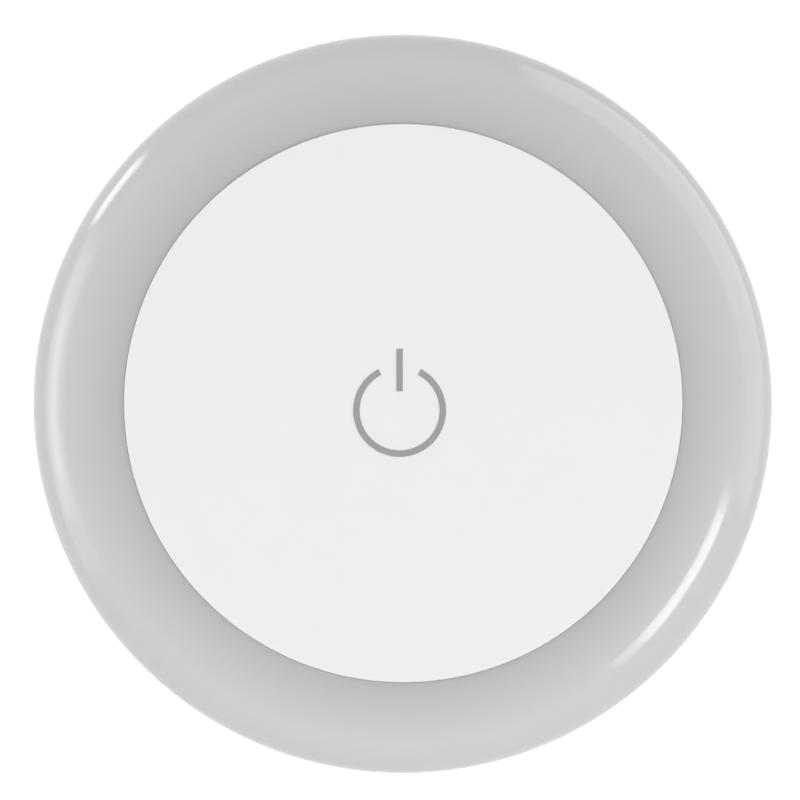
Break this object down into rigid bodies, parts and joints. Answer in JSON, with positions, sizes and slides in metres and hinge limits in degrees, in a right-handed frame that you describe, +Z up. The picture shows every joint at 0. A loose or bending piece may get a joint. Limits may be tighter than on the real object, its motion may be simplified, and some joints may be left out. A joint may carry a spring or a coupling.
{
  "type": "plug-in night light",
  "caption": "Round plug-in night light: a white press disc in a translucent ring, on a shallow white housing with a flat plug and two round pins.",
  "frame": {"origin": "centre of the plug's engagement face, midway between the two pins", "axes": "+Y into the wall socket along the pins, +X to the right of someone facing the lamp, +Z up"},
  "size_m": [0.08, 0.0601, 0.08],
  "materials": {
    "housing_white": "satin",
    "ring_milky": "gloss",
    "disc_white": "matte",
    "symbol_grey": "matte",
    "inner_white": "satin",
    "pin_nickel": "polished",
    "sleeve_dark": "satin",
    "spring_steel": "bright",
    "board_green": "satin",
    "emitter_yellow": "gloss",
    "switch_black": "satin",
    "tinned_metal": "bright",
    "can_aluminium": "satin",
    "film_red": "gloss",
    "resistor_green": "satin",
    "chip_black": "satin",
    "screw_steel": "bright"
  },
  "bodies": {
    "lamp_body": {"rear_housing": "housing_white", "plug_block": "housing_white", "pin_left": "pin_nickel", "pin_right": "pin_nickel", "sleeve_left": "sleeve_dark", "sleeve_right": "sleeve_dark", "diffuser_ring": "ring_milky", "centre_frame": "inner_white", "return_spring": "spring_steel", "main_board": "board_green", "light_emitters": "emitter_yellow", "reflector_ring": "inner_white", "switch_body": "switch_black", "switch_terminals": "tinned_metal", "electrolytic_capacitor": "can_aluminium", "film_capacitor": "film_red", "bridge_rectifier": "chip_black", "fusible_resistor": "resistor_green", "chip_resistors": "chip_black", "component_leads": "tinned_metal", "solder_joints": "tinned_metal", "housing_screws": "screw_steel"},
    "disc": {"press_disc": "disc_white", "power_symbol": "symbol_grey"},
    "plunger": {"switch_plunger": "inner_white"}
  },
  "joints": [
    {"name": "disc_press", "type": "slide", "parent": "lamp_body", "child": "disc", "axis": [0, 1, 0], "range_m": [0, 0.0012], "stiffness_N_per_m": 1200, "springref_m": -0.0015, "deforming": ["return_spring"]},
    {"name": "switch_plunge", "type": "slide", "parent": "lamp_body", "child": "plunger", "axis": [0, 1, 0], "range_m": [0, 0.0012]}
  ],
  "couplings": [
    {"joint": "switch_plunge", "follows": "disc_press", "ratio": 1}
  ]
}
